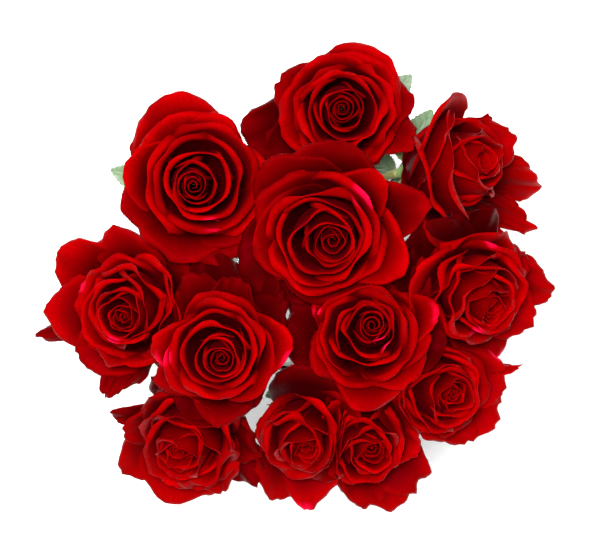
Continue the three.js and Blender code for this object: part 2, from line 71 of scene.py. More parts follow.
# The roses: the tip of the heart, the lean from upright and its direction, the
# head's radius and height and its turn, as in the CAD model. "petals" is how many it
# has, "open" how far its outer petals fold out, "ruffle" how wavy they are and "deep"
# how far the heart is sunk. "gap" is the side where the outer petals stand off from
# the heart, and how far. "guards" are its large outermost petals: direction in
# degrees, how far out and up the tip stands and its half width, as shares of the
# head's radius and height, its ruffle, and how pointed it is.
ROSES = [
    dict(tip=(-57, 50, 378), lean=6, towards=300, radius=42, height=50, turn=20,
         petals=20, open=0.9, ruffle=0.4, deep=0.1, gap=(25, 0.13), guards=[
             (104, 1.24, 0.6, 0.84, 0.3, 0.6), (70, 1.0, 0.66, 0.7, 0.3, 0.8),
             (166, 0.94, 0.62, 0.66, 0.3, 0.8), (207, 1.0, 0.5, 0.7, 0.5, 0.5),
             (262, 1.06, 0.5, 0.9, 0.6, 0.2), (318, 1.06, 0.46, 0.8, 0.6, 0.4),
             (350, 1.05, 0.6, 0.7, 0.3, 0.2), (292, 1.14, 0.44, 0.6, 1.0, 0.3),
         ]),
    dict(tip=(24, 92, 372), lean=7, towards=275, radius=39, height=48, turn=50,
         petals=23, open=0.86, ruffle=0.6, deep=0.75, gap=(320, 0.05), guards=[
             (196, 1.6, 0.42, 0.46, 1.8, 0.2), (224, 1.45, 0.36, 0.6, 1.8, 0.2),
             (160, 1.0, 0.5, 0.6, 1.4, 0.3), (-28, 1.2, 0.5, 0.42, 1.8, 0.6),
             (104, 0.8, 0.62, 0.8, 0.9, 0.3), (44, 0.98, 0.6, 0.8, 0.7, 0.2), (8, 1.04, 0.5, 0.6, 1.0, 0.5),
             (300, 0.96, 0.44, 0.7, 0.7, 0.5), (255, 1.1, 0.36, 0.7, 0.8, 0.3),
         ]),
    dict(tip=(108, 67, 350), lean=48, towards=6, radius=40, height=54, turn=0,
         petals=21, open=0.6, ruffle=1.0, deep=0.3, gap=(10, 0.1), guards=[
             (190, 0.72, 0.92, 1.05, 0.3, 0.1), (152, 0.8, 0.9, 0.7, 0.3, 0.5),
             (128, 1.0, 0.8, 0.8, 0.3, 0.3), (214, 1.0, 0.7, 0.85, 0.8, 0.3), (250, 1.3, 0.5, 0.7, 0.9, 0.3),
             (-50, 1.6, 0.66, 0.3, 2.8, 0.3), (-30, 1.7, 0.74, 0.34, 2.8, 0.2),
             (-4, 1.8, 0.68, 0.46, 2.4, 0.1), (24, 1.16, 0.76, 0.5, 1.6, 0.0),
         ]),
    dict(tip=(18, 18, 386), lean=14, towards=268, radius=44, height=50, turn=75,
         petals=21, open=0.86, ruffle=0.6, deep=0.35, gap=(178, 0.14), guards=[
             (92, 1.26, 0.46, 0.7, 0.8, 0.4), (128, 1.24, 0.44, 0.7, 1.0, 0.4),
             (20, 1.3, 0.5, 0.5, 0.6, 0.9), (52, 1.0, 0.62, 0.46, 0.6, 0.9), (160, 1.04, 0.5, 0.8, 0.6, 0.2),
             (208, 1.3, 0.3, 0.8, 1.6, 0.3), (250, 0.96, 0.4, 0.8, 0.8, 0.4),
             (338, 1.02, 0.6, 0.6, 0.6, 0.8),
         ]),
    dict(tip=(-102, -22, 352), lean=20, towards=190, radius=42, height=50, turn=33,
         petals=23, open=0.8, ruffle=1.0, deep=0.3, gap=(110, 0.1), guards=[
             (108, 1.22, 0.56, 0.66, 0.5, 0.3), (142, 1.38, 0.6, 0.56, 0.6, 0.2),
             (176, 1.26, 0.66, 0.56, 0.6, 0.3), (192, 1.6, 0.46, 0.2, 1.6, 0.2),
             (248, 1.24, 0.46, 0.34, 1.8, 0.5), (222, 1.06, 0.5, 0.6, 1.6, 0.3),
             (55, 1.3, 0.36, 0.8, 1.8, 0.3), (20, 1.2, 0.3, 0.8, 1.8, 0.3), (330, 0.9, 0.5, 0.6, 1.2, 0.4),
             (50, 1.1, 0.42, 0.6, 3.0, 0.3),
         ]),
    dict(tip=(-43, -45, 374), lean=6, towards=250, radius=37, height=48, turn=10,
         petals=20, open=0.92, ruffle=0.5, deep=0.45, gap=(130, 0.12), guards=[
             (170, 1.06, 0.76, 0.56, 0.4, 0.8), (14, 1.08, 0.76, 0.56, 0.4, 0.7),
             (288, 0.96, 0.36, 0.5, 1.8, 0.5), (116, 1.34, 0.4, 0.5, 2.6, 0.4),
             (82, 1.2, 0.4, 0.5, 2.6, 0.4), (244, 1.26, 0.34, 0.6, 2.2, 0.5),
             (270, 1.1, 0.46, 0.7, 0.8, 0.4), (96, 1.75, 0.26, 0.5, 2.8, 0.3),
             (62, 1.6, 0.3, 0.45, 2.4, 0.4), (128, 1.5, 0.2, 0.6, 2.4, 0.3), (205, 1.12, 0.5, 0.5, 0.8, 0.8),
             (42, 1.3, 0.32, 0.5, 2.0, 0.3),
         ]),
    dict(tip=(40, -24, 374), lean=8, towards=95, radius=36, height=48, turn=58,
         petals=19, open=0.92, ruffle=0.5, deep=0.1, gap=(225, 0.15), guards=[
             (268, 1.3, 0.56, 0.76, 0.5, 0.8), (12, 1.04, 0.78, 0.5, 0.5, 0.8),
             (62, 1.5, 0.4, 0.7, 0.7, 0.2), (184, 1.45, 0.3, 0.8, 1.6, 0.3),
             (158, 1.45, 0.24, 0.6, 1.6, 0.3), (222, 1.1, 0.5, 0.7, 0.5, 0.4),
             (305, 1.06, 0.54, 0.7, 0.5, 0.5), (345, 1.3, 0.24, 0.8, 1.6, 0.3),
             (120, 1.1, 0.5, 0.8, 0.8, 0.3),
         ]),
    dict(tip=(111, -20, 352), lean=34, towards=315, radius=39, height=50, turn=27,
         petals=25, open=0.9, ruffle=1.2, deep=0.3, gap=(110, 0.12), guards=[
             (92, 1.6, 0.36, 0.5, 2.4, 0.4), (124, 1.5, 0.34, 0.6, 1.6, 0.4),
             (158, 1.26, 0.6, 0.7, 0.6, 0.4), (4, 1.26, 0.54, 0.5, 1.8, 0.4), (146, 1.7, 0.3, 0.7, 1.6, 0.3),
             (40, 0.98, 0.5, 0.5, 2.0, 0.3), (210, 1.2, 0.5, 0.7, 1.0, 0.5), (334, 1.1, 0.56, 0.6, 1.2, 0.4),
             (292, 1.24, 0.5, 0.6, 1.0, 0.3),
         ]),
    dict(tip=(90, -66, 346), lean=26, towards=335, radius=33, height=44, turn=64,
         petals=24, open=0.9, ruffle=0.9, deep=0.3, gap=(200, 0.1), guards=[
             (176, 1.6, 0.5, 0.6, 1.0, 0.5), (212, 1.45, 0.44, 0.6, 1.2, 0.5),
             (12, 1.5, 0.62, 0.12, 2.0, 0.0), (106, 1.45, 0.3, 0.9, 1.6, 0.3),
             (140, 1.4, 0.34, 0.8, 1.6, 0.3), (300, 1.18, 0.52, 0.8, 1.0, 0.3),
             (262, 0.8, 0.5, 0.6, 1.0, 0.4), (0, 1.26, 0.56, 0.7, 1.2, 0.2), (335, 1.3, 0.56, 0.7, 1.2, 0.2),
         ]),
    dict(tip=(-70, -102, 342), lean=34, towards=245, radius=37, height=46, turn=5,
         petals=25, open=0.95, ruffle=1.2, deep=0.3, gap=(320, 0.1), guards=[
             (168, 1.26, 0.44, 0.3, 1.0, 0.9), (130, 0.86, 0.5, 0.6, 1.2, 0.3),
             (84, 1.3, 0.4, 0.8, 1.8, 0.4), (62, 1.4, 0.36, 0.5, 1.8, 0.4), (-14, 1.16, 0.4, 0.5, 2.4, 0.4),
             (-38, 1.4, 0.4, 0.5, 2.6, 0.5), (218, 1.36, 0.54, 0.6, 1.4, 0.3),
             (300, 1.12, 0.54, 0.6, 1.2, 0.3), (254, 1.34, 0.56, 0.8, 1.2, 0.1),
             (180, 1.04, 0.5, 0.5, 1.2, 0.4),
         ]),
    dict(tip=(3, -99, 350), lean=30, towards=268, radius=30, height=44, turn=41,
         petals=24, open=0.95, ruffle=0.5, deep=0.4, gap=(150, 0.08), guards=[
             (86, 1.4, 0.36, 0.8, 0.3, 0.1), (168, 0.95, 0.5, 0.7, 0.7, 0.3),
             (276, 1.66, 0.6, 0.7, 0.8, 0.4), (248, 1.66, 0.52, 0.7, 0.8, 0.2),
             (322, 1.34, 0.5, 0.7, 0.8, 0.3), (20, 1.2, 0.5, 0.7, 0.6, 0.3),
         ]),
    dict(tip=(43, -101, 344), lean=24, towards=296, radius=30, height=43, turn=17,
         petals=23, open=0.92, ruffle=0.8, deep=0.8, gap=(190, 0.12), guards=[
             (80, 1.6, 0.52, 1.0, 0.8, 0.2), (-12, 1.04, 0.56, 0.6, 1.0, 0.3),
             (30, 1.16, 0.56, 0.7, 0.9, 0.3), (292, 1.62, 0.54, 0.8, 0.8, 0.1),
             (314, 1.54, 0.54, 0.7, 0.8, 0.1), (272, 1.44, 0.52, 0.7, 0.9, 0.1),
             (215, 1.3, 0.46, 0.5, 1.4, 0.5), (140, 1.2, 0.5, 0.7, 0.8, 0.3),
         ]),
]

# Painted highlights: pink glints painted paler and pinker on the petals near their rims, each at x, y and
# how far it spreads.
PAINTED_GLINTS = [
    (36, 46, 9), (70, -19, 8), (45, -35, 5), (-75, -43, 6), (-7, -44, 6), (-124, -4, 4),
    (114, -42, 6), (100, -30, 4), (80, -103, 6), (2, -130, 7), (-48, 30, 5), (108, 20, 4),
    (-104, -33, 4), (10, -18, 3),
]

# The leaves, as in the CAD model: the rose, the share of the way up its stem's bend,
# the turn about the stem and the angle away from it, the pairs of side leaflets, the
# end leaflet's length, and how far the leaf bends down.
LEAVES = [
    (1, 0.26, 8, 28, 2, 31, 62), (1, 0.58, 46, 31, 1, 32, 20), (2, 0.22, 8, 28, 2, 30, 66),
    (2, 0.52, -42, 45, 1, 32, 10), (3, 0.2, -6, 50, 2, 32, 58), (3, 0.46, 2, 39, 1, 34, 38),
    (4, 0.5, -8, 24, 1, 36, -10), (5, 0.26, -6, 36, 2, 32, 60), (5, 0.56, 16, 37, 1, 33, 30),
    (6, 0.5, 0, 30, 1, 30, 20), (7, 0.5, 66, 36, 1, 28, 10), (8, 0.24, 6, 36, 2, 30, 64),
    (8, 0.55, -8, 43, 1, 31, 30), (9, 0.14, 0, 56, 1, 34, 60), (9, 0.58, 4, 44, 1, 28, 40),
    (10, 0.24, 0, 39, 2, 32, 60), (10, 0.58, -12, 38, 1, 33, 38), (11, 0.3, -10, 45, 2, 28, 66),
    (11, 0.62, -18, 54, 1, 25, 34), (12, 0.14, 2, 50, 1, 33, 60), (12, 0.6, 8, 42, 1, 26, 40),
]


# ---- small maths ----

def smooth(low, high, value):
    share = np.clip((value - low) / (high - low), 0, 1)
    return share * share * (3 - 2 * share)


def mix(a, b, share):
    return a * (1 - share) + b * share


def unit(vectors):
    return vectors / np.maximum(np.linalg.norm(vectors, axis=-1, keepdims=True), 1e-9)


def joined(*parts):
    """Numbers or arrays side by side, as the coordinates of points."""
    return np.stack(np.broadcast_arrays(*parts), -1)


def waves(random, slowest, fastest, count=4):
    """A smooth wavy function of one number, between about -1 and 1."""
    pace = random.uniform(slowest, fastest, count)
    start = random.uniform(0, 2 * math.pi, count)
    return lambda value: sum(np.sin(p * value + s) for p, s in zip(pace, start)) / math.sqrt(count)


def flat_direction(angle):
    return np.array([math.cos(angle), math.sin(angle), 0.0])


def turned_flat(x, y, angle):
    """Flat coordinates turned about the origin."""
    cos, sin = math.cos(angle), math.sin(angle)
    return x * cos - y * sin, x * sin + y * cos


def rotated(points, axis, angle):
    """Points turned about an axis through the origin."""
    along = (points @ axis)[..., None] * axis
    return (points * math.cos(angle) + np.cross(axis, points) * math.sin(angle)
            + along * (1 - math.cos(angle)))


def bezier(points, share):
    a, b, c, d = (np.asarray(point, float) for point in points)
    t = np.asarray(share, float)[..., None]
    return a * (1 - t) ** 3 + 3 * b * t * (1 - t) ** 2 + 3 * c * t * t * (1 - t) + d * t ** 3


def run_along(line):
    """The length of a line from its start to each of its points."""
    return np.concatenate([[0], np.cumsum(np.linalg.norm(np.diff(line, axis=0), axis=1))])


def sheet_places(rows, columns, left=-1):
    """For each point of a sheet, its place along it, 0 to 1, and across it, left to 1."""
    return np.meshgrid(np.linspace(0, 1, rows), np.linspace(left, 1, columns), indexing="ij")


def round_angles(count):
    return np.linspace(0, 2 * math.pi, count, endpoint=False)


# ---- camera, light and floor, in metres ----

CAMERA_HEIGHT = 1.36
HEADS_HEIGHT = 0.36
VIEW_WIDTH = 0.329
SENSOR = 36.0
LAMP_TARGET = (0, 0, 0.25)
WORLD_STRENGTH = 0.13
FLOOR_HALF = 3
WHITE = (1, 1, 1, 1)

# Each lamp's name, place, width and power.
LAMPS = [
    ("top_light", (-0.15, 0.2, 2.4), 0.7, 118),
    ("front_light", (1.2, -2.2, 1.5), 2.2, 30),
    ("back_light", (-1.8, 1.8, 1.5), 2.2, 20),
]


def add_thing(name, data):
    thing = bpy.data.objects.new(name, data)
    bpy.context.scene.collection.objects.link(thing)
    return thing


def add_camera():
    data = bpy.data.cameras.new("camera")
    data.sensor_width = SENSOR
    data.lens = SENSOR * (CAMERA_HEIGHT - HEADS_HEIGHT) / VIEW_WIDTH
    camera = add_thing("camera", data)
    camera.location = (0, 0, CAMERA_HEIGHT)
    bpy.context.scene.camera = camera


def add_lamp(name, place, size, energy):
    """A round area light that faces the flowers."""
    data = bpy.data.lights.new(name, "AREA")
    data.shape = "DISK"
    data.size = size
    data.energy = energy
    x, y, z = np.subtract(LAMP_TARGET, place)
    lamp = add_thing(name, data)
    lamp.location = place
    lamp.rotation_euler = (math.atan2(math.hypot(x, y), -z), 0, math.atan2(y, x) - math.pi / 2)


def add_world():
    world = bpy.data.worlds.new("studio")
    world.use_nodes = True
    background = world.node_tree.nodes["Background"]
    background.inputs["Color"].default_value = WHITE
    background.inputs["Strength"].default_value = WORLD_STRENGTH
    bpy.context.scene.world = world


def add_floor(material):
    corners = [(-1, -1), (1, -1), (1, 1), (-1, 1)]
    mesh = bpy.data.meshes.new("floor")
    mesh.from_pydata([(x * FLOOR_HALF, y * FLOOR_HALF, 0) for x, y in corners], [], [(0, 1, 2, 3)])
    mesh.materials.append(material)
    floor = add_thing("floor", mesh)


# ---- meshes ----

CELL_MARGIN = 0.02


class Piece:
    """Points and faces of one piece, each element in its own cell of the bake UV map.
    A second UV map has the pattern: each point's place across and along its element.
    Tone differs from element to element, and on guard petals it is painted shade, darker
    the lower they stand; back is 1 where a point is on a sheet's outer side, and the glint
    look is how strongly a painted pink highlight lies on a petal there."""

    def __init__(self):
        self.points = []
        self.patterns = []
        self.faces = []
        self.face_uvs = []
        self.face_cells = []
        self.looks = {"tone": [], "back": [], "blush": []}
        self.count = 0
        self.cells = 0

    def add(self, points, faces, uvs, pattern, **looks):
        """Adds an element: faces is a list of (n, 4) or (n, 3) arrays, uvs the same
        with a pair for each corner, and pattern has a pair for each point."""
        self.points.append(points)
        self.patterns.append(pattern)
        for name, values in self.looks.items():
            values.append(np.broadcast_to(looks.get(name, 0.0), len(points)))
        for group, group_uvs in zip(faces, uvs):
            self.faces.append(group + self.count)
            self.face_uvs.append(group_uvs)
            self.face_cells.append(np.full(len(group), self.cells))
        self.count += len(points)
        self.cells += 1

    def build(self, name, material, nodes):
        mesh = bpy.data.meshes.new(name)
        faces = [tuple(face) for group in self.faces for face in group.tolist()]
        points = np.concatenate(self.points) * MM
        mesh.from_pydata(points.tolist(), [], faces)
        self.write_uvs(mesh)
        for look, values in self.looks.items():
            layer = mesh.attributes.new(look, "FLOAT", "POINT")
            layer.data.foreach_set("value", np.concatenate(values).astype(np.float32))
        mesh.polygons.foreach_set("use_smooth", np.ones(len(faces), bool))
        mesh.materials.append(material)
        mesh.update()
        thing = add_thing(name, mesh)
        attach(thing, "root")
        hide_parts(*nodes)

    def write_uvs(self, mesh):
        across = math.ceil(math.sqrt(self.cells))
        points = np.concatenate(self.patterns)
        bake = []
        for uvs, cells in zip(self.face_uvs, self.face_cells):
            corner = joined(cells % across, cells // across)[:, None, :] + CELL_MARGIN
            bake.append((corner + (1 - 2 * CELL_MARGIN) * uvs) / across)
        pattern = [points[group] for group in self.faces]
        for name, values in (("OFBake", bake), ("Pattern", pattern)):
            flat = np.concatenate([group.ravel() for group in values]).astype(np.float32)
            mesh.uv_layers.new(name=name).data.foreach_set("uv", flat)
        mesh.uv_layers.active = mesh.uv_layers["OFBake"]


def grid_normals(grid):
    along = np.gradient(grid, axis=0)
    across = np.gradient(grid, axis=1)
    return unit(np.cross(along, across))


def grid_quads(rows, columns):
    index = np.arange(rows * columns).reshape(rows, columns)
    corners = [index[:-1, :-1], index[:-1, 1:], index[1:, 1:], index[1:, :-1]]
    return joined(*corners).reshape(-1, 4)


def border(rows, columns):
    """The grid's outline, once round, from its first corner along the first row."""
    index = np.arange(rows * columns).reshape(rows, columns)
    return np.concatenate([index[0, :-1], index[:-1, -1], index[-1, :0:-1], index[:0:-1, 0]])


# A sheet's two faces stand side by side in its UV cell, with a strip above them for
# its edge.
FACE_SIZE = (0.48, 0.94)
BACK_PLACE = (0.51, 0)
EDGE_LOW = 0.96
EDGE_HIGH = 0.99


def add_sheet(piece, grid, thickness, tone, fade=1.0, blush=0.0):
    """A thin closed sheet: the grid, a copy set off along its normals, and an edge.
    The fade sets how near the rim a petal's painted shade reaches, and the glint look how
    strongly a painted pink highlight lies on it."""
    rows, columns, _ = grid.shape
    size = rows * columns
    back = grid - grid_normals(grid) * thickness
    points = np.concatenate([grid.reshape(-1, 3), back.reshape(-1, 3)])
    front_faces = grid_quads(rows, columns)
    back_faces = front_faces[:, ::-1] + size
    loop = border(rows, columns)
    after = np.roll(loop, -1)
    edge_faces = joined(after, loop, loop + size, after + size)

    v, u = (places.ravel() for places in sheet_places(rows, columns, 0))
    front = joined(u, v) * FACE_SIZE
    face_uvs = np.concatenate([front, front + BACK_PLACE])
    step = np.arange(len(loop)) / len(loop)
    next_step = step + 1 / len(loop)
    edge_uvs = np.stack([
        joined(next_step, EDGE_LOW), joined(step, EDGE_LOW),
        joined(step, EDGE_HIGH), joined(next_step, EDGE_HIGH),
    ], 1)
    # The along place is bent by the fade, so a petal's painted shade reaches as near its rim as its level
    # sets.
    pattern = np.tile(joined(u, v ** fade), (2, 1))
    side = np.repeat([0.0, 1.0], size)
    blush = np.tile(np.broadcast_to(blush, (rows, columns)).ravel(), 2)
    piece.add(points, [front_faces, back_faces, edge_faces],
              [face_uvs[front_faces], face_uvs[back_faces], edge_uvs], pattern,
              tone=tone, back=side, blush=blush)


# How much of its UV cell the wall of a tube or lathe takes, and the radius of the two
# discs above it for the ends.
TUBE_WALL, TUBE_DISC = 0.9, 0.035
LATHE_WALL, LATHE_DISC = 0.8, 0.09
DISC_PLACES = (0.2, 0.6)


def add_rings(piece, wall, ends, share, length, cell, tone):
    """A closed body: a wall of rings of points, and a fan to an end point at each end.
    Share is how far along the wall each ring is, and length the wall's in the pattern."""
    rings, sides, _ = wall.shape
    wall_part, disc_radius = cell
    index = np.arange(rings * sides).reshape(rings, sides)
    right = np.roll(index, -1, axis=1)
    quads = joined(index[:-1], right[:-1], right[1:], index[1:]).reshape(-1, 4)
    start = joined(right[0], index[0], rings * sides)
    end = joined(index[-1], right[-1], rings * sides + 1)

    turn = np.arange(sides) / sides
    left, low = np.meshgrid(turn, share[:-1] * wall_part)
    _, high = np.meshgrid(turn, share[1:] * wall_part)
    corners = [(left, low), (left + 1 / sides, low), (left + 1 / sides, high), (left, high)]
    quad_uvs = np.stack([joined(*corner) for corner in corners], -2).reshape(-1, 4, 2)
    disc = joined(np.cos(round_angles(sides)), np.sin(round_angles(sides))) * disc_radius
    after = np.roll(disc, -1, axis=0)
    middle = np.zeros((sides, 2))
    start_uvs, end_uvs = (
        np.stack([*fan, middle], 1) + (place, (1 + wall_part) / 2)
        for fan, place in zip([(after, disc), (disc, after)], DISC_PLACES)
    )
    u, v = np.meshgrid(turn, share * length)
    pattern = np.concatenate([joined(u.ravel(), v.ravel()), [[0, 0], [0, length]]])
    points = np.concatenate([wall.reshape(-1, 3), ends])
    piece.add(points, [quads, start, end], [quad_uvs, start_uvs, end_uvs], pattern, tone=tone)


SIDE_HINT = (0.3, 0.9, 0.2)


def frames_along(path):
    """Two directions square to the path at each point, turning as little as they can."""
    tangents = unit(np.gradient(path, axis=0))
    side = unit(np.cross(tangents[0], SIDE_HINT))
    sides = []
    for tangent in tangents:
        side = unit(side - tangent * np.dot(side, tangent))
        sides.append(side)
    sides = np.array(sides)
    return sides, np.cross(tangents, sides)


def add_tube(piece, path, radii, sides, tone):
    """A closed round bar along a path, with a flat end at each end."""
    first, second = frames_along(path)
    angle = round_angles(sides)[None, :, None]
    circle = np.cos(angle) * first[:, None, :] + np.sin(angle) * second[:, None, :]
    wall = path[:, None, :] + circle * radii[:, None, None]
    share = np.linspace(0, 1, len(path))
    length = run_along(path)[-1] * MM
    add_rings(piece, wall, path[[0, -1]], share, length, (TUBE_WALL, TUBE_DISC), tone)


def add_lathe(piece, profile, segments, place=None, tone=0.5):
    """A closed body turned about Z: the profile starts and ends on the axis."""
    profile = np.asarray(profile, float)
    radius, height = profile[1:-1, :1], profile[1:-1, 1:]
    angle = round_angles(segments)
    wall = joined(radius * np.cos(angle), radius * np.sin(angle), height)
    ends = joined(0, 0, profile[[0, -1], 1])
    if place is not None:
        wall, ends = place(wall), place(ends)
    run = run_along(profile[1:-1])
    add_rings(piece, wall, ends, run / run[-1], 1, (LATHE_WALL, LATHE_DISC), tone)


# ---- where each rose stands ----

HEAD_MIDDLE = 0.55


class Head:
    """A rose head's place: its base, its axis, and the map from its own frame."""

    def __init__(self, rose):
        lean, towards = math.radians(rose["lean"]), math.radians(rose["towards"])
        self.rose = rose
        self.axis = math.sin(lean) * flat_direction(towards) + (0, 0, math.cos(lean))
        self.tip = np.array(rose["tip"], float)
        self.radius = rose["radius"]
        self.height = rose["height"]
        self.base = self.tip - self.axis * self.height
        self.middle = self.base + self.axis * self.height * HEAD_MIDDLE
        self.basis = self.level_basis()

    def level_basis(self):
        """The least turn that takes +Z to the axis, as rows x, y and z."""
        x, y, z = np.cross((0, 0, 1), self.axis)
        cross = np.array([[0, -z, y], [z, 0, -x], [-y, x, 0]])
        turn = np.eye(3) + cross + cross @ cross / (1 + self.axis[2])
        return turn.T

    def place(self, points):
        return self.base + points @ self.basis


HEADS = [Head(rose) for rose in ROSES]
WIDEST = max(math.hypot(head.tip[0], head.tip[1]) for head in HEADS)
PRESS_SOFTNESS = 5.0
PRESS_REACH = 1.5


def pressed(points, head, slack=0.0):
    """Petals give way smoothly where another head presses on this one. Slack is how
    far low petals may reach past the middle, under the other head's rims."""
    for other in HEADS:
        gap = other.middle - head.middle
        distance = np.linalg.norm(gap)
        if other is head or distance > PRESS_REACH * (head.radius + other.radius):
            continue
        towards = gap / distance
        share = head.radius / (head.radius + other.radius)
        limit = head.middle @ towards + distance * share - CLEARANCE + slack
        over = np.maximum(points @ towards - limit + PRESS_SOFTNESS, 0)
        given = over - PRESS_SOFTNESS * (1 - np.exp(-over / PRESS_SOFTNESS))
        points = points - given[..., None] * towards
    return points


# ---- petals ----

PETAL_ROWS = 30
PETAL_COLUMNS = 25
ROW_CROWDING = 1.4
COLUMN_CROWDING = 1.25
MIDLINE_STEPS = 80
PETAL_THICKNESS = 0.4
GUARD_SLACK = 12.0
GOLDEN = math.radians(137.508)

# How a petal's shape goes from the heart of the head (0) to its outside (1): the
# distance of its tip from the axis, the tip's height, the shoulder that it passes
# on the way up, its half width as an angle and how far it is flat instead of wound
# round the axis, the roll of its rim, in millimetres, and how near the rim its
# painted shade reaches: below that its colour is painted darker as shade deep in the
# head, which a head's lean evens out.
LEVELS = [0, 0.12, 0.28, 0.45, 0.62, 0.8, 1]
TIP_OUT = [0.03, 0.09, 0.17, 0.29, 0.46, 0.72, 1.02]
TIP_UP = [0.9, 0.93, 0.97, 0.98, 0.93, 0.8, 0.6]
SHOULDER_OUT = [0.06, 0.11, 0.18, 0.28, 0.4, 0.51, 0.58]
SHOULDER_UP = [0.62, 0.64, 0.68, 0.7, 0.64, 0.54, 0.44]
BELLY_OUT = [0.12, 0.19, 0.3, 0.42, 0.54, 0.6, 0.62]
SPAN_ANGLE = [150, 138, 118, 98, 80, 66, 58]
FLATNESS = [0, 0, 0.05, 0.25, 0.6, 1, 1]
ROLL_LENGTH = [0.7, 1.0, 1.7, 2.8, 4.2, 5.7, 6.5]
ROLL_RADIUS = [0.7, 0.85, 1.15, 1.6, 2.1, 2.8, 3.4]
PAINTED_SHADE_FADE = [8, 7, 5, 3, 1.7, 1.15, 1]
FULL_LEAN = 36
FULL_ROLL = 3.3
RIM_SOFTNESS = 1.4
RIM_POINT = 0.6
CORNER_POWER = 2.4

# A guard petal is painted darker the lower it stands, as painted shade.
GUARD_HEIGHTS = [0.34, 0.46, 0.58]
GUARD_PAINTED_SHADES = [0.95, 0.65, 0.08]


def level_value(table, level):
    return float(np.interp(level, LEVELS, table))


class Petal:
    """One petal in the head's own frame. Its midline goes out and up from its claw."""

    def __init__(self, head, level, azimuth, random):
        size, tall = head.radius, head.height
        rose = head.rose
        side, distance = rose["gap"]
        stand_off = distance * size * smooth(0.3, 0.7, level)
        reach = level_value(TIP_OUT, level) * mix(1, rose["open"], level)
        sunk = 1 - 0.3 * rose["deep"] * (1 - smooth(0.15, 0.5, level))
        self.azimuth = azimuth
        self.tall = tall
        self.shift = flat_direction(math.radians(side)) * stand_off
        self.midline = [
            (1.5 + 1.5 * level, 0.5),
            (level_value(BELLY_OUT, level) * size, 0.04 * tall),
            (level_value(SHOULDER_OUT, level) * size, level_value(SHOULDER_UP, level) * tall),
            (reach * size * random.uniform(0.84, 1.1),
             level_value(TIP_UP, level) * sunk * tall * random.uniform(0.93, 1.04)),
        ]
        self.span = math.radians(level_value(SPAN_ANGLE, level)) * random.uniform(0.86, 1.1)
        self.half_width = 0.8 * size * random.uniform(0.92, 1.08)
        self.flatness = level_value(FLATNESS, level)
        self.wrap = mix(1, 0.82, self.flatness)
        self.roll_length = level_value(ROLL_LENGTH, level) * random.uniform(0.7, 1.2)
        self.roll_radius = level_value(ROLL_RADIUS, level)
        self.skew = mix(0.9, 1.6, level)
        self.ruffle = rose["ruffle"] * mix(0.25, 1.7, level)
        self.ragged = rose["ruffle"] * mix(0.15, 0.7, level)
        self.corner_drop = 0.24
        self.slope = random.uniform(-0.12, 0.12) * mix(0.4, 1, level)
        # How far up the petal its colour is painted darker as shade; less on a leaning head.
        self.fade = mix(level_value(PAINTED_SHADE_FADE, level), 1, min(1, rose["lean"] / FULL_LEAN))
        self.tone = random.uniform(0, 0.4)


class GuardPetal(Petal):
    """A large outermost petal that stands out from the head."""

    def __init__(self, head, guard, random):
        azimuth, out, up, wide, ruffle, point = guard
        super().__init__(head, 1, math.radians(azimuth), random)
        size, tall = head.radius, head.height
        shoulder = mix(0.62, 0.85, smooth(0.8, 0.9, up))
        self.midline = [
            (3, 0.5),
            (0.6 * size, 0),
            (shoulder * out * size, (0.24 + 0.45 * up) * tall),
            (out * size, up * tall),
        ]
        self.half_width = wide * size
        self.ruffle = ruffle
        self.ragged = 0.45 + 0.3 * ruffle
        self.slope = random.uniform(-0.1, 0.1)
        self.shift = np.zeros(3)
        self.roll_length *= 0.9 - 0.3 * point
        self.corner_drop = 0.14 + 0.34 * point
        # Painted shade: a guard petal's tone darkens it the lower its tip stands.
        self.tone = float(np.interp(up, GUARD_HEIGHTS, GUARD_PAINTED_SHADES))


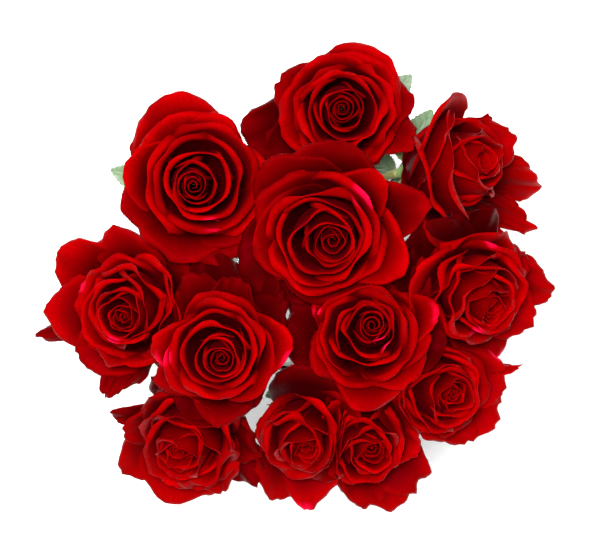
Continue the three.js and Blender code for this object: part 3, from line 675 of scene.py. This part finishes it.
class PetalFace:
    """Works out a petal's inner face. At each point of its grid, s goes from the claw
    (0) to the rim (1) and t from side to side (-1 to 1), x and y are the place across
    and up the petal laid flat, and lift is how far the point stands off from it."""

    def __init__(self, petal, random):
        rows = 1 - (1 - np.linspace(0, 1, PETAL_ROWS)) ** ROW_CROWDING
        columns = np.sin(np.linspace(-1, 1, PETAL_COLUMNS) * COLUMN_CROWDING)
        self.petal = petal
        self.s, self.t = np.meshgrid(rows, columns / math.sin(COLUMN_CROWDING), indexing="ij")
        self.line = bezier(petal.midline, np.linspace(0, 1, MIDLINE_STEPS))
        self.run = run_along(self.line)
        self.length = self.run[-1]
        self.lay_flat(random)
        self.roll_rim(random)
        self.ruffle(random)

    def lay_flat(self, random):
        petal, s, t = self.petal, self.s, self.t
        corners = petal.corner_drop * np.abs(t) ** CORNER_POWER
        self.top = 1 - corners + petal.slope * t * (1 - np.abs(t) ** 3)
        flat_width = petal.half_width * (0.2 + 0.8 * np.sin(0.5 * math.pi * np.minimum(1, s / 0.7)))
        flat_width *= 1 - 0.1 * smooth(0.7, 1, s)
        ring = np.interp(s * self.top * self.length, self.run, self.line[:, 0])
        self.width = mix(petal.span * ring / petal.wrap, flat_width, petal.flatness)
        edge_wave = waves(random, 2, 9, 5)
        side_wave = waves(random, 3, 9, 4)
        sides = np.sign(t) * np.abs(t) ** 8 * smooth(0.3, 0.7, s)
        self.x = t * self.width + petal.ragged * side_wave(s * 3) * sides
        self.y = s * self.top * self.length + petal.ragged * edge_wave(t * 3) * s ** 8

    def roll_rim(self, random):
        """The rim rolls back most at its shoulders, and leaves a point at the middle."""
        petal, s, t = self.petal, self.s, self.t
        top_weight = np.exp(-(1 - s) * self.top * self.length / RIM_SOFTNESS)
        side_weight = np.exp(-(1 - np.abs(t)) * self.width / RIM_SOFTNESS)
        gap = np.maximum(-RIM_SOFTNESS * np.log(top_weight + side_weight + 1e-12), 0)
        drop = petal.corner_drop * CORNER_POWER * np.abs(t) ** (CORNER_POWER - 1) * np.sign(t)
        tilt = drop * self.length / np.maximum(self.width, 1)
        steep = np.hypot(tilt, 1)
        out_x = top_weight * tilt / steep + side_weight * np.sign(t)
        out_y = top_weight / steep
        size = np.maximum(np.hypot(out_x, out_y), 1e-6)
        wave = waves(random, 1.2, 3.5, 3)
        roll = petal.roll_length * smooth(0.35, 0.8, s) * (1 + 0.3 * wave(t * 2))
        roll = roll * (1 - RIM_POINT * np.exp(-((t + 0.1) / 0.2) ** 2))
        rolled = np.maximum(roll - gap, 0)
        turn = np.minimum(rolled / petal.roll_radius, FULL_ROLL)
        shift = (rolled - petal.roll_radius * np.sin(turn)) / size
        self.x = self.x - out_x * shift
        self.y = np.maximum(self.y - out_y * shift, 0)
        self.lift = petal.roll_radius * (1 - np.cos(turn))

    def ruffle(self, random):
        petal, s, t = self.petal, self.s, self.t
        wave = waves(random, 1.5, 5, 4)
        self.lift = self.lift + petal.ruffle * wave(t * 2.2 + 0.6 * s) * smooth(0.35, 1, s)
        self.lift = self.lift + petal.skew * t * smooth(0.15, 0.6, s)

    def grid(self):
        """The face carried up the midline and round the head's axis."""
        petal, line, y = self.petal, self.line, self.y
        slope = np.gradient(line, axis=0)
        leans = np.unwrap(np.arctan2(slope[:, 0], slope[:, 1]))
        past = np.maximum(y - self.length, 0)
        out = np.interp(y, self.run, line[:, 0]) + past * math.sin(leans[-1])
        up = np.interp(y, self.run, line[:, 1]) + past * math.cos(leans[-1])
        lean = np.interp(y, self.run, leans)
        bend = petal.wrap / np.maximum(out, 1.2)
        beta = np.clip(self.x * bend, -3.0, 3.0)
        outward = self.lift * np.cos(lean)
        radial = out - (1 - np.cos(beta)) / bend + outward * np.cos(beta)
        sideways = np.sin(beta) / bend + outward * np.sin(beta)
        up = up - self.lift * np.sin(lean)
        grid = joined(*turned_flat(radial, sideways, petal.azimuth), up)
        return grid + smooth(0, 0.6, up / petal.tall)[..., None] * petal.shift


def add_petal(piece, head, petal, random, slack=0.0):
    grid = pressed(head.place(PetalFace(petal, random).grid()), head, slack)
    # Painted pink highlights, strongest near each listed glint place.
    blush = np.zeros(grid.shape[:2])
    for x, y, size in PAINTED_GLINTS:
        away = np.hypot(grid[..., 0] - x, grid[..., 1] - y)
        blush = np.maximum(blush, 1 - smooth(0.45 * size, size, away))
    add_sheet(piece, grid, PETAL_THICKNESS, petal.tone, petal.fade, blush)


def add_head(number, head, material):
    random = np.random.default_rng(SEED + number)
    piece = Piece()
    count = head.rose["petals"]
    turn = math.radians(head.rose["turn"])
    for index in range(count):
        level = index / (count - 1)
        azimuth = turn + index * GOLDEN + random.uniform(-0.3, 0.3) * level
        add_petal(piece, head, Petal(head, level, azimuth, random), random)
    for guard in head.rose["guards"]:
        add_petal(piece, head, GuardPetal(head, guard, random), random, GUARD_SLACK)
    name = f"rose_{number:02d}"
    piece.build(f"{name}_petals", material, [f"{name}_bloom"])


# ---- stems ----

def vase_outer_radius(height):
    share = np.maximum(height, 0) / VASE_HEIGHT
    return VASE_FOOT_RADIUS + (VASE_MOUTH_RADIUS - VASE_FOOT_RADIUS) * share ** VASE_FLARE


def vase_inner_radius(height):
    return vase_outer_radius(height) - VASE_WALL


class Stem:
    """The route of one stem, as in the CAD model: straight up to the neck of the
    bunch, then a bend that meets the head along the head's axis."""

    def __init__(self, head):
        foot_height = VASE_FLOOR + STEM_FOOT_GAP
        neck_height = VASE_HEIGHT + STEM_PAST_RIM
        room = STEM_DIAMETER / 2 + STEM_GLASS_GAP
        foot_share = (vase_inner_radius(foot_height) - VASE_FOOT_ROUND - room) / WIDEST
        neck_share = (vase_inner_radius(VASE_HEIGHT) - room) / WIDEST
        flat = np.array([head.tip[0], head.tip[1], 0])
        self.foot = rotated(flat, np.array([0, 0, 1]), STEM_TWIST) * foot_share + (0, 0, foot_height)
        self.neck = flat * neck_share + (0, 0, neck_height)
        end = head.base - head.axis * (HIP_LENGTH + 2 * CLEARANCE)
        reach = np.linalg.norm(end - self.neck) / 3
        self.rise = unit(self.neck - self.foot)
        self.straight = np.linalg.norm(self.neck - self.foot)
        self.bend = [self.neck, self.neck + self.rise * reach, end - head.axis * reach, end]

    def bend_point(self, share):
        return bezier(self.bend, share)

    def bend_tangent(self, share):
        step = 0.001
        return unit(self.bend_point(share + step) - self.bend_point(share - step))

    def bar_point(self, share):
        """The middle of the CAD bar, which is straight from step to step."""
        step = min(math.floor(share * STEM_BENDS), STEM_BENDS - 1)
        low = self.bend_point(step / STEM_BENDS)
        high = self.bend_point((step + 1) / STEM_BENDS)
        return mix(low, high, share * STEM_BENDS - step)

    def route(self):
        straight = np.linspace(self.foot, self.neck, 40)[:-1]
        return np.concatenate([straight, self.bend_point(np.linspace(0, 1, 36))])


STEMS = [Stem(head) for head in HEADS]
STEM_SIDES = 14
THORN_LENGTH = 4.6
THORN_RADIUS = 1.5
THORN_SPACING = 19
THORN_STRETCH = 0.8
THORN_TONE = 0.95
LEAF_SWELL = 0.7
NODE_SWELL = 0.35
NODE_SPACING = 46


def stem_radii(number, stem, run, random):
    """The stem's radius along its run, which swells at each leaf and bare node."""
    radii = STEM_DIAMETER / 2 - 0.15 + 0.12 * np.sin(run * 0.11 + number)
    for rose, along, *_ in LEAVES:
        if rose == number:
            node = stem.straight + along * (run[-1] - stem.straight)
            radii += LEAF_SWELL * np.exp(-((run - node) / 4) ** 2)
    for node in np.arange(30, stem.straight - 20, NODE_SPACING):
        radii += NODE_SWELL * np.exp(-((run - node - random.uniform(-8, 8)) / 3) ** 2)
    return radii


def slant_foot(points, axis, random):
    """The knife's slanting cut: the first ring of a tube and its middle move up."""
    ring = points[:STEM_SIDES]
    uphill = rotated(unit(np.cross(axis, (1, 0.2, 0))), axis, random.uniform(0, 2 * math.pi))
    share = (ring - ring.mean(axis=0)) @ uphill / (STEM_DIAMETER / 2)
    points[:STEM_SIDES] = ring + ((share + 1) * STEM_DIAMETER * 0.45)[:, None] * axis
    points[-2] = points[:STEM_SIDES].mean(axis=0)


def add_thorn(piece, foot, stem_axis, out):
    """A curved thorn, wide along the stem, that points out and a little down."""
    share = np.linspace(0, 1, 9)
    down = -unit(stem_axis)
    line = bezier([
        (0, 0, 0), out * THORN_LENGTH * 0.4 - down * 0.3,
        out * THORN_LENGTH * 0.8 + down * 0.1, out * THORN_LENGTH + down * 1.6,
    ], share)
    add_tube(piece, foot + line, THORN_RADIUS * (1 - share) ** 1.2 + 0.06, 10, THORN_TONE)
    points = piece.points[-1]
    root = (1 - np.clip((points - foot) @ out / THORN_LENGTH, 0, 1))[:, None]
    piece.points[-1] = points + ((points - foot) @ down)[:, None] * down * root * THORN_STRETCH


def add_stem(number, stem, material):
    random = np.random.default_rng(SEED * 3 + number)
    piece = Piece()
    route = stem.route()
    run = run_along(route)
    radii = stem_radii(number, stem, run, random)
    add_tube(piece, route, radii, STEM_SIDES, random.uniform(0.1, 0.6))
    slant_foot(piece.points[-1], stem.rise, random)
    tangents = unit(np.gradient(route, axis=0))
    first, second = frames_along(route)
    for place in np.arange(WATER_DEPTH + 24, run[-1] - 16, THORN_SPACING):
        at = place + random.uniform(-6, 6)
        index = int(np.clip(np.searchsorted(run, at), 1, len(run) - 2))
        angle = random.uniform(0, 2 * math.pi)
        out = math.cos(angle) * first[index] + math.sin(angle) * second[index]
        add_thorn(piece, route[index] + out * (radii[index] - 0.5), tangents[index], out)
    name = f"rose_{number:02d}_stem"
    piece.build(f"{name}_detail", material, [name])


# ---- hips and sepals ----

SEPAL_COUNT = 5
SEPAL_ROWS = 34
SEPAL_COLUMNS = 9
SEPAL_HALF_WIDTH = 3.4
SEPAL_THICKNESS = 0.45
HIP_SEGMENTS = 32


def sepal_grid(random, head, index):
    """A long pointed sepal with a few narrow teeth, which droops from the head."""
    s, t = sheet_places(SEPAL_ROWS, SEPAL_COLUMNS)
    length = SEPAL_LENGTH * random.uniform(0.9, 1.04)
    belly = 0.75 + 0.35 * np.sin(math.pi * np.minimum(1, s * 2))
    width = SEPAL_HALF_WIDTH * (1 - smooth(0.15, 1, s)) ** 0.8 * belly + 0.25
    if index % 2 == 0:
        teeth = np.maximum(0, np.sin(s * 26 + index)) ** 4
        width = width + 1.1 * teeth * smooth(0.12, 0.2, s) * smooth(0.7, 0.5, s)
    curl = random.uniform(0.8, 1.3)
    out = HIP_RADIUS * 0.5 + length * s
    up = -CLEARANCE - 0.4 - SEPAL_DROOP * curl * s ** 1.6 - 0.3 * random.uniform(0, 1) * s
    up = up + 0.09 * (t * width) ** 2 * (1 - s) + 0.5 * np.sin(s * 5 + index) * s
    side = t * width + 1.6 * np.sin(s * 2.4 + index * 2) * s
    angle = 2 * math.pi * index / SEPAL_COUNT + math.radians(head.rose["turn"])
    return joined(*turned_flat(out, side, angle), up)


def add_calyx(number, head, material):
    random = np.random.default_rng(SEED * 5 + number)
    piece = Piece()
    share = np.linspace(0, 1, 22)
    neck = STEM_DIAMETER / 2 - 0.1
    urn = neck + (HIP_RADIUS - neck) * np.sin(math.pi * np.minimum(1, share * 1.15) * 0.72) ** 1.3
    urn -= 1.3 * smooth(0.72, 1, share)
    heights = -HIP_LENGTH - 2 * CLEARANCE + (HIP_LENGTH + CLEARANCE) * share
    profile = [(0, heights[0] - 0.01), *zip(urn, heights), (0, heights[-1] + 0.01)]
    add_lathe(piece, profile, HIP_SEGMENTS, head.place, random.uniform(0.2, 0.6))
    for index in range(SEPAL_COUNT):
        grid = pressed(head.place(sepal_grid(random, head, index)), head)
        add_sheet(piece, grid, SEPAL_THICKNESS, random.uniform(0.1, 0.9))
    name = f"rose_{number:02d}_calyx"
    piece.build(f"{name}_detail", material, [name])


# ---- leaves ----

TEETH = 13
LEAFLET_ROWS = 4 * TEETH + 1
LEAFLET_COLUMNS = 13
VEIN_PAIRS = 7
BLADE_THICKNESS = 0.35
STALK_STEPS = 24
STALK_SIDES = 10
MIDRIB_STEPS = 12
MIDRIB_SIDES = 6
STIPULE_THICKNESS = 0.3


class Leaf:
    """One compound leaf: its frame at the stem and its bend, as in the CAD model."""

    def __init__(self, rose, along, turn, away, pairs, leaflet, bend):
        stem = STEMS[rose - 1]
        node = stem.bar_point(along)
        stem_axis = stem.bend_tangent(along)
        outward = flat_direction(math.atan2(node[1], node[0]) + math.radians(turn))
        off = unit(outward - stem_axis * (outward @ stem_axis))
        away = math.radians(away)
        self.pairs = pairs
        self.size = leaflet
        self.along = stem_axis * math.cos(away) + off * math.sin(away)
        self.across = unit(np.cross((0, 0, 1), self.along))
        self.normal = np.cross(self.along, self.across)
        self.reach = (STEM_DIAMETER / 2 + CLEARANCE + LEAF_THICKNESS) / math.sin(away)
        self.start = node + self.along * self.reach
        self.stalk = self.size * 0.55
        self.step = self.size * 0.62
        self.end = self.stalk + pairs * self.step - self.size * 0.2
        self.curl = math.radians(bend) / (self.end + self.size)

    def place(self, points):
        """Takes points (along, across, up) of the flat leaf to their bent place."""
        x, y, z = points[..., 0], points[..., 1], points[..., 2]
        bent = np.maximum(x, 0)
        angle = self.curl * bent
        along = np.minimum(x, 0) + bent * np.sinc(angle / math.pi) + z * np.sin(angle)
        up = z * np.cos(angle) - bent * np.sinc(angle / 2 / math.pi) * np.sin(angle / 2)
        return (self.start + along[..., None] * self.along + y[..., None] * self.across
                + up[..., None] * self.normal)


def leaflet_grid(size, x0, y0, angle, random):
    """A toothed blade in the flat leaf's frame, folded a little along its midrib."""
    s, t = sheet_places(LEAFLET_ROWS, LEAFLET_COLUMNS)
    tooth = np.where(s >= 1, 0, np.mod(s * TEETH, 1))
    edge = np.abs(t) ** 6
    outline = np.sin(math.pi * s ** 0.82) ** 0.8 * (1 - 0.12 * s)
    width = size * LEAFLET_ASPECT * 0.49 * outline * (1 + edge * 0.13 * (tooth - 0.5)) + 0.35
    x = size * (0.02 + 0.98 * s) + edge * 0.02 * size * tooth
    y = t * width
    fold = random.uniform(0.1, 0.3)
    wave = waves(random, 3, 7, 3)
    vein = np.abs(np.sin(math.pi * (s * VEIN_PAIRS - 1.5 * np.abs(t) * (1 - 0.4 * s))))
    lift = fold * np.abs(y) + 0.32 * vein * np.sin(math.pi * np.clip(np.abs(t) * 0.9, 0, 1))
    lift = lift + wave(s * 2 + np.sign(t) * 3) * 0.6 * np.abs(t) ** 2 * outline
    lift = lift - random.uniform(0.02, 0.12) * size * s ** 2
    x, y = turned_flat(x, y, angle)
    return joined(x0 + x, y0 + y, lift)


def add_stalk(piece, leaf, tone):
    run = np.linspace(-leaf.reach, leaf.end + 1, STALK_STEPS)
    radii = mix(1.25, 0.55, smooth(-leaf.reach, leaf.end, run))
    radii += 0.5 * np.exp(-(run + leaf.reach) / 3)
    add_tube(piece, leaf.place(joined(run, 0, -0.35)), radii, STALK_SIDES, tone)


def add_stipules(piece, leaf):
    """The pair of narrow wings where the leaf's stalk leaves the stem."""
    s, t = sheet_places(12, 5, 0)
    width = 2.4 * (0.35 + 0.65 * s) * smooth(1.02, 0.86, s) + 0.2
    for side in (-1, 1):
        grid = leaf.place(joined(
            -leaf.reach + 2 + 12 * s + 1.8 * t * s, side * (0.4 + t * width), 0.5 * t ** 2,
        ))
        add_sheet(piece, grid if side < 0 else grid[:, ::-1], STIPULE_THICKNESS, 0.4)


def add_midrib(piece, leaf, size, x0, y0, angle):
    """The rib under a blade, from its stalk nearly to its tip."""
    share = np.linspace(0, 0.85, MIDRIB_STEPS)
    x, y = turned_flat(size * share, 0, angle)
    line = joined(x0 + x, y0 + y, -0.3 - 0.06 * size * share ** 2)
    add_tube(piece, leaf.place(line), mix(0.5, 0.15, share), MIDRIB_SIDES, 0.5)


def add_leaf(number, row, material):
    random = np.random.default_rng(SEED * 7 + number)
    leaf = Leaf(*row)
    piece = Piece()
    add_stalk(piece, leaf, random.uniform(0.3, 0.6))
    add_stipules(piece, leaf)
    blades = [(leaf.size, leaf.end, 0.0, random.uniform(-0.1, 0.1))]
    for pair in range(leaf.pairs):
        for side in (-1, 1):
            angle = side * LEAFLET_ANGLE * random.uniform(0.9, 1.08)
            size = leaf.size * (0.72 + 0.1 * pair) * random.uniform(0.94, 1.02)
            blades.append((size, leaf.stalk + pair * leaf.step, side * 0.3, angle))
    for blade in blades:
        grid = leaf.place(leaflet_grid(*blade, random))
        add_sheet(piece, grid[:, ::-1], BLADE_THICKNESS, random.uniform(0, 1))
        add_midrib(piece, leaf, *blade)
    name = f"leaf_{number:02d}"
    piece.build(f"{name}_detail", material, [name])


# ---- vase and water ----

VASE_SEGMENTS = 96
ROUND_POINTS = 9
WALL_POINTS = 44
LIP_POINTS = 13
# The water reaches a little into the glass, so that no film of air shows between them.
WATER_OVERLAP = 0.12
# How far the water creeps up the glass, and how soon it is level away from it.
WATER_CREEP = 1.8
CREEP_REACH = 1.3


def inner_corner(overlap=0.0):
    """The round at the foot of the vase's inside, from just below the wall to the
    floor, set out into the glass by the overlap."""
    angle = np.linspace(0, math.pi / 2, ROUND_POINTS)[1:]
    middle = vase_inner_radius(VASE_FLOOR + VASE_FOOT_ROUND) - VASE_FOOT_ROUND
    return joined(middle + overlap + VASE_FOOT_ROUND * np.cos(angle),
                  VASE_FLOOR - overlap + VASE_FOOT_ROUND * (1 - np.sin(angle)))


def add_vase(material):
    rim = VASE_WALL / 2
    top = VASE_HEIGHT - rim
    angle = np.linspace(0, math.pi / 2, ROUND_POINTS)
    middle = vase_outer_radius(VASE_FOOT_ROUND) - VASE_FOOT_ROUND
    foot = joined(middle + VASE_FOOT_ROUND * np.sin(angle), VASE_FOOT_ROUND * (1 - np.cos(angle)))
    up = np.linspace(VASE_FOOT_ROUND, top, WALL_POINTS)[1:]
    outer = joined(vase_outer_radius(up), up)
    turn = np.linspace(0, math.pi, LIP_POINTS)[1:-1]
    lip = joined(vase_outer_radius(top) - rim + rim * np.cos(turn), top + rim * np.sin(turn))
    down = np.linspace(top, VASE_FLOOR + VASE_FOOT_ROUND, WALL_POINTS)
    inner = joined(vase_inner_radius(down), down)
    piece = Piece()
    add_lathe(piece, [(0, 0), *foot, *outer, *lip, *inner, *inner_corner(), (0, VASE_FLOOR)],
              VASE_SEGMENTS)
    piece.build("vase_glass", material, ["vase"])


def add_water(material):
    level = VASE_FLOOR + WATER_DEPTH
    up = np.linspace(VASE_FLOOR + VASE_FOOT_ROUND, level + WATER_CREEP, 30)
    side = joined(vase_inner_radius(up) + WATER_OVERLAP, up)
    away = np.linspace(0.15, 7, 12)
    surface = joined(side[-1, 0] - away, level + WATER_CREEP * np.exp(-away / CREEP_REACH))
    corner = inner_corner(WATER_OVERLAP)[::-1]
    piece = Piece()
    add_lathe(piece, [(0, VASE_FLOOR - WATER_OVERLAP), *corner, *side, *surface, (0, level)],
              VASE_SEGMENTS)
    piece.build("water_fill", material, ["water"])


# ---- materials ----

def rgb(red, green, blue):
    return (red, green, blue, 1.0)


class Shades:
    """Builds a material's nodes: each call gives a node's output."""

    def __init__(self, name):
        self.material = bpy.data.materials.new(name)
        self.material.use_nodes = True
        self.tree = self.material.node_tree

    def node(self, kind, **settings):
        node = self.tree.nodes.new(kind)
        for name, value in settings.items():
            setattr(node, name, value)
        return node

    def feed(self, socket, value):
        """Gives a socket a number, a colour or another node's output."""
        if isinstance(value, bpy.types.NodeSocket):
            self.tree.links.new(value, socket)
        else:
            socket.default_value = value

    def finish(self, **sockets):
        """Feeds the shader's sockets and returns the material."""
        shader = self.tree.nodes["Principled BSDF"]
        for name, value in sockets.items():
            self.feed(shader.inputs[name.replace("_", " ")], value)
        return self.material

    def math(self, operation, *values):
        node = self.node("ShaderNodeMath", operation=operation)
        for socket, value in zip(node.inputs, values):
            self.feed(socket, value)
        return node.outputs[0]

    def times(self, first, second):
        return self.math("MULTIPLY", first, second)

    def ramp(self, value, low, high, weight=1.0):
        """0 below low, weight above high and smooth between; high may be the lower."""
        node = self.node("ShaderNodeMapRange", interpolation_type="SMOOTHSTEP")
        for socket, number in zip(node.inputs, (value, low, high, 0.0, weight)):
            self.feed(socket, number)
        return node.outputs[0]

    def layered(self, ground, *layers):
        """A ground colour under layers, each with its share of cover and its colour."""
        below = rgb(*ground)
        for share, colour in layers:
            node = self.node("ShaderNodeMix", data_type="RGBA")
            self.feed(node.inputs["Factor"], share)
            self.feed(node.inputs[6], below)
            self.feed(node.inputs[7], rgb(*colour))
            below = node.outputs[2]
        return below

    def attribute(self, name):
        return self.node("ShaderNodeAttribute", attribute_name=name).outputs["Fac"]

    def pattern_uv(self):
        return self.node("ShaderNodeUVMap", uv_map="Pattern").outputs[0]

    def pattern(self):
        """The point's place on its petal, leaflet or bar: across and along."""
        split = self.node("ShaderNodeSeparateXYZ")
        self.feed(split.inputs[0], self.pattern_uv())
        return split.outputs[0], split.outputs[1]

    def off_middle(self, across):
        """0 on the midline and 1 at either side."""
        return self.times(self.math("ABSOLUTE", self.math("SUBTRACT", across, 0.5)), 2.0)

    def noise(self, scale, detail=3.0, stretch=None, shift=None):
        """Noise in metres of the object, or stretched across and along the pattern."""
        mapping = self.node("ShaderNodeMapping")
        if stretch is None:
            self.feed(mapping.inputs["Vector"], self.node("ShaderNodeTexCoord").outputs["Object"])
        else:
            self.feed(mapping.inputs["Vector"], self.pattern_uv())
            self.feed(mapping.inputs["Scale"], (*stretch, 1))
        if shift is not None:
            join = self.node("ShaderNodeCombineXYZ")
            self.feed(join.inputs[2], shift)
            self.feed(mapping.inputs["Location"], join.outputs[0])
        texture = self.node("ShaderNodeTexNoise")
        self.feed(texture.inputs["Scale"], scale)
        self.feed(texture.inputs["Detail"], detail)
        self.feed(texture.inputs["Vector"], mapping.outputs[0])
        return texture.outputs["Fac"]

    def bump(self, height, strength, distance):
        node = self.node("ShaderNodeBump")
        self.feed(node.inputs["Height"], height)
        self.feed(node.inputs["Strength"], strength)
        self.feed(node.inputs["Distance"], distance)
        return node.outputs[0]


def petal_material():
    shades = Shades("petal")
    across, along = shades.pattern()
    tone = shades.attribute("tone")
    veins = shades.noise(7.0, stretch=(9.0, 1.2), shift=tone)
    # Painted shade: low on the petal the colour stays near black and lightens towards the rim, as shade deep
    # in the head.
    rim = shades.ramp(along, 0.42, 0.92)
    flank = shades.ramp(shades.off_middle(across), 0.55, 1.0, 0.3)
    dusk = shades.ramp(shades.noise(55.0), 0.42, 0.68, 0.42)
    lines = shades.ramp(veins, 0.46, 0.7, 0.38)
    outside = shades.times(shades.attribute("back"), shades.math("MULTIPLY_ADD", tone, 0.75, 0.2))
    # Painted highlight: pink glints painted pale near the petals' rims at the listed places.
    painted_glint_cover = shades.times(shades.attribute("blush"), shades.ramp(along, 0.78, 1.0))
    # The near-black ground is the painted shade under the lit red of the rim layer.
    colour = shades.layered(
        (0.004, 0, 0), (rim, (0.27, 0, 0)), (flank, (0.12, 0, 0.0003)),
        (dusk, (0.08, 0, 0.0003)), (lines, (0.12, 0, 0.0003)),
        # Tone darkens a petal: at random on inner petals, and on guard petals as painted shade, darker the
        # lower they stand.
        (shades.times(tone, 0.92), (0.018, 0, 0.0001)), (outside, (0.03, 0, 0.0003)),
        (painted_glint_cover, (0.75, 0.002, 0.035)),
    )
    return shades.finish(
        Base_Color=colour,
        Roughness=shades.math("MULTIPLY_ADD", veins, 0.3, 0.42),
        Normal=shades.bump(veins, 0.25, 0.0006),
        Specular_IOR_Level=0.16,
        Specular_Tint=rgb(1, 0, 0.03),
        Sheen_Weight=0.04,
        Sheen_Roughness=0.5,
        Sheen_Tint=rgb(1, 0, 0.03),
    )


def stem_material():
    shades = Shades("stem")
    streak = shades.noise(26.0, stretch=(6.0, 30.0))
    blotch = shades.ramp(shades.noise(70.0), 0.35, 0.65)
    fine = shades.ramp(streak, 0.45, 0.65, 0.4)
    red = shades.ramp(shades.noise(24.0, 2.0), 0.5, 0.72, 0.5)
    thorn = shades.ramp(shades.attribute("tone"), 0.85, 0.94)
    colour = shades.layered(
        (0.075, 0.15, 0.03), (blotch, (0.16, 0.25, 0.06)), (fine, (0.2, 0.28, 0.09)),
        (red, (0.16, 0.07, 0.03)), (thorn, (0.24, 0.075, 0.035)),
    )
    normal = shades.bump(streak, 0.25, 0.0003)
    return shades.finish(Base_Color=colour, Normal=normal, Roughness=0.48, Specular_IOR_Level=0.35)


def calyx_material():
    shades = Shades("calyx")
    _, along = shades.pattern()
    cloud = shades.ramp(shades.noise(110.0), 0.4, 0.7, 0.5)
    tips = shades.ramp(along, 0.82, 1.0, 0.5)
    outside = shades.times(shades.attribute("back"), 0.35)
    colour = shades.layered(
        (0.15, 0.24, 0.055), (shades.ramp(along, 0.1, 0.9), (0.075, 0.14, 0.035)),
        (cloud, (0.2, 0.28, 0.1)), (tips, (0.2, 0.06, 0.03)), (outside, (0.22, 0.3, 0.13)),
    )
    normal = shades.bump(shades.noise(420.0, 4.0), 0.3, 0.0003)
    return shades.finish(Base_Color=colour, Normal=normal, Roughness=0.6, Specular_IOR_Level=0.3)


def leaf_veins(shades, side, along):
    """1 on the midrib, less on the side veins, which sweep forward, and 0 between."""
    taper = shades.math("SUBTRACT", 1.0, shades.times(along, 0.4))
    sweep = shades.times(shades.times(side, 1.5), taper)
    phase = shades.math("SUBTRACT", shades.times(along, VEIN_PAIRS), sweep)
    saw = shades.math("ABSOLUTE", shades.math("SUBTRACT", shades.math("FRACT", phase), 0.5))
    return shades.math("MAXIMUM", shades.ramp(saw, 0.42, 0.5, 0.7), shades.ramp(side, 0.09, 0.03))


def leaf_material():
    shades = Shades("leaf")
    across, along = shades.pattern()
    tone = shades.attribute("tone")
    side = shades.off_middle(across)
    vein = leaf_veins(shades, side, along)
    cells = shades.noise(300.0, 2.0)
    cloud = shades.ramp(shades.noise(60.0, shift=tone), 0.3, 0.7)
    margin = shades.ramp(side, 0.9, 1.0, 0.35)
    under = shades.times(shades.attribute("back"), 0.7)
    colour = shades.layered(
        (0.018, 0.05, 0.018), (cloud, (0.05, 0.1, 0.04)),
        (shades.times(tone, 0.4), (0.08, 0.15, 0.04)), (shades.times(vein, 0.55), (0.14, 0.2, 0.09)),
        (margin, (0.12, 0.06, 0.03)), (under, (0.16, 0.24, 0.13)),
    )
    return shades.finish(
        Base_Color=colour,
        Normal=shades.bump(shades.math("SUBTRACT", shades.times(cells, 0.12), vein), 0.35, 0.0004),
        Roughness=shades.math("MULTIPLY_ADD", cells, 0.25, 0.34),
        Specular_IOR_Level=0.4,
    )


def clear_material(name, colour, ior, ripple_scale, strength, distance):
    """Glass or water, with faint ripples."""
    shades = Shades(name)
    normal = shades.bump(shades.noise(ripple_scale, 1.0), strength, distance)
    return shades.finish(
        Base_Color=colour, Normal=normal, Roughness=0.0, IOR=ior, Transmission_Weight=1.0,
    )


def floor_material():
    """Pale and a little bright in itself, so that shadows on it stay soft."""
    return Shades("floor").finish(
        Base_Color=rgb(0.9, 0.9, 0.9), Roughness=0.8, Emission_Color=WHITE, Emission_Strength=0.2,
    )


# ---- the whole scene ----

bpy.context.scene.view_settings.view_transform = "Standard"
add_camera()
for lamp in LAMPS:
    add_lamp(*lamp)
add_world()
add_floor(floor_material())
petal_look = petal_material()
stem_look = stem_material()
calyx_look = calyx_material()
leaf_look = leaf_material()
for number, (head, stem) in enumerate(zip(HEADS, STEMS), 1):
    add_head(number, head, petal_look)
    add_stem(number, stem, stem_look)
    add_calyx(number, head, calyx_look)
for number, row in enumerate(LEAVES, 1):
    add_leaf(number, row, leaf_look)
add_vase(clear_material("glass", rgb(0.93, 0.98, 0.965), 1.5, 9.0, 0.08, 0.001))
add_water(clear_material("water", rgb(0.96, 0.985, 0.96), 1.33, 30.0, 0.05, 0.0005))
